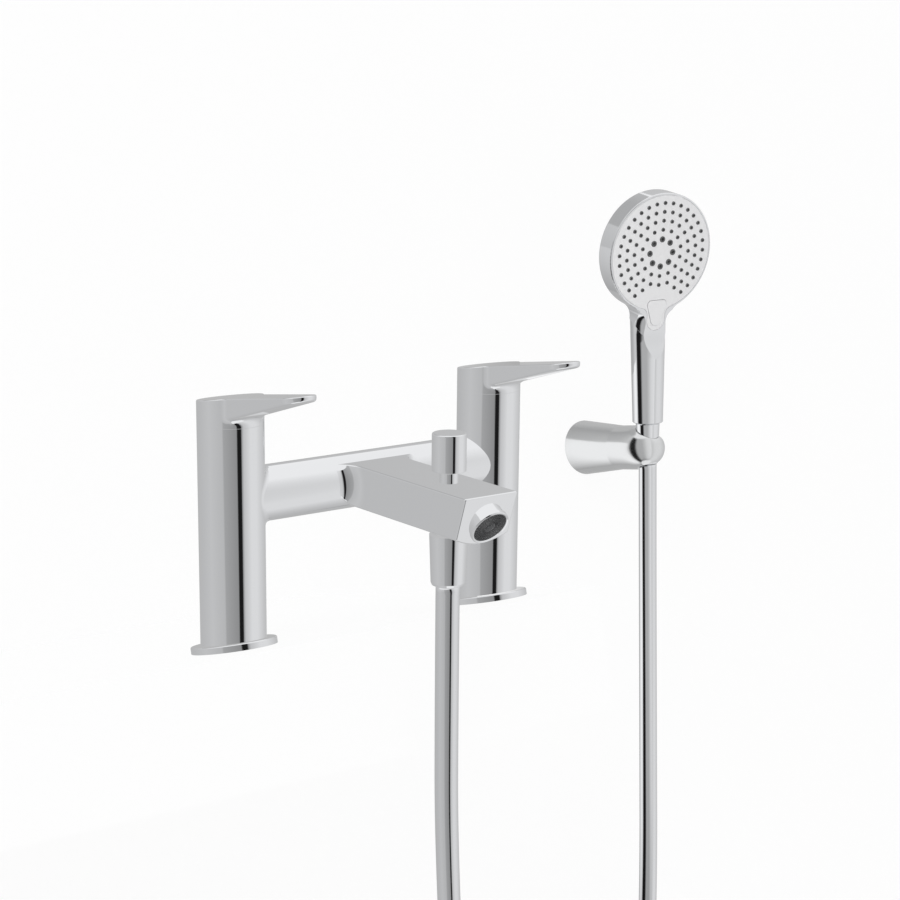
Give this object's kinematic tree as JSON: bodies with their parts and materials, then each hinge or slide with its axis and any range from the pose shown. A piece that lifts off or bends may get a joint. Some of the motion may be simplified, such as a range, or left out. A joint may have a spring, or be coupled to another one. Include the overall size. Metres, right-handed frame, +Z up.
{
  "type": "bath shower mixer",
  "caption": "Deck-mounted bath shower mixer with raked columns, quarter-turn levers, pull-up diverter, hose and a push-button hand shower in a conical wall holder.",
  "frame": {"origin": "top of the bath rim, halfway between the two columns", "axes": "+Z up from the rim, +X towards the cold side (right seen from the bath), -Y out over the bath"},
  "size_m": [0.5664, 0.4483, 0.7204],
  "materials": {
    "chrome_plated_brass": "polished",
    "chrome_plated_plastic": "polished",
    "raw_brass": "machined",
    "nut_steel": "satin",
    "black_rubber": "matte",
    "white_ceramic": "lapped",
    "silver_plastic": "satin",
    "grey_silicone": "matte",
    "dark_plastic": "matte",
    "white_plastic": "matte",
    "hose_metal": "polished"
  },
  "bodies": {
    "mixer_and_holder": {"mixer_body": "chrome_plated_brass", "base_disc_left": "chrome_plated_brass", "base_gasket_left": "black_rubber", "inlet_tail_left": "raw_brass", "fixing_washer_left": "black_rubber", "back_nut_left": "raw_brass", "cartridge_body_left": "raw_brass", "cartridge_seal_left": "black_rubber", "ceramic_fixed_disc_left": "white_ceramic", "cartridge_nut_left": "raw_brass", "base_disc_right": "chrome_plated_brass", "base_gasket_right": "black_rubber", "inlet_tail_right": "raw_brass", "fixing_washer_right": "black_rubber", "back_nut_right": "raw_brass", "cartridge_body_right": "raw_brass", "cartridge_seal_right": "black_rubber", "ceramic_fixed_disc_right": "white_ceramic", "cartridge_nut_right": "raw_brass", "shower_outlet": "raw_brass", "hose_washer_mixer": "black_rubber", "hose_nut_mixer": "chrome_plated_brass", "hose_ferrule_mixer": "raw_brass", "aerator_housing": "chrome_plated_brass", "aerator_insert": "dark_plastic", "wall_plate": "nut_steel", "holder_cone": "chrome_plated_plastic", "holder_head": "chrome_plated_plastic", "holder_screw": "nut_steel", "wall_screws": "nut_steel", "wall_plugs": "white_plastic", "hose": "hose_metal"},
    "lever_left": {"lever_left": "chrome_plated_brass", "lever_screw_left": "nut_steel", "cartridge_spindle_left": "raw_brass", "ceramic_moving_disc_left": "white_ceramic"},
    "lever_right": {"lever_right": "chrome_plated_brass", "lever_screw_right": "nut_steel", "cartridge_spindle_right": "raw_brass", "ceramic_moving_disc_right": "white_ceramic"},
    "diverter": {"diverter_knob": "chrome_plated_brass", "diverter_stem": "chrome_plated_brass", "diverter_ring": "black_rubber"},
    "hand_shower": {"handset_shell": "chrome_plated_plastic", "spray_face": "silver_plastic", "nozzle_mat": "grey_silicone", "water_divider": "white_plastic", "button_pad": "grey_silicone", "handset_inlet": "white_plastic", "hose_washer_handset": "black_rubber", "hose_ferrule_handset": "raw_brass", "hose_nut_handset": "chrome_plated_brass"},
    "select_button": {"select_button": "silver_plastic"}
  },
  "joints": [
    {"name": "lever_left_turn", "type": "hinge", "parent": "mixer_and_holder", "child": "lever_left", "pos_m": [-0.09, -0.03145, 0.13014], "axis": [0, -0.2419, 0.9703], "range_deg": [0, 90]},
    {"name": "lever_right_turn", "type": "hinge", "parent": "mixer_and_holder", "child": "lever_right", "pos_m": [0.09, -0.03145, 0.13014], "axis": [0, -0.2419, 0.9703], "range_deg": [-90, 0]},
    {"name": "diverter_pull", "type": "slide", "parent": "mixer_and_holder", "child": "diverter", "axis": [0, -0.2419, 0.9703], "range_m": [0, 0.008]},
    {"name": "hand_shower_lift", "type": "slide", "parent": "mixer_and_holder", "child": "hand_shower", "axis": [0, -0.1942, 0.981], "range_m": [0, 0.045]},
    {"name": "select_button_press", "type": "slide", "parent": "hand_shower", "child": "select_button", "axis": [0.1138, 0.9379, 0.3276], "range_m": [0, 0.0015], "stiffness_N_per_m": 1500, "springref_m": -0.0005}
  ]
}
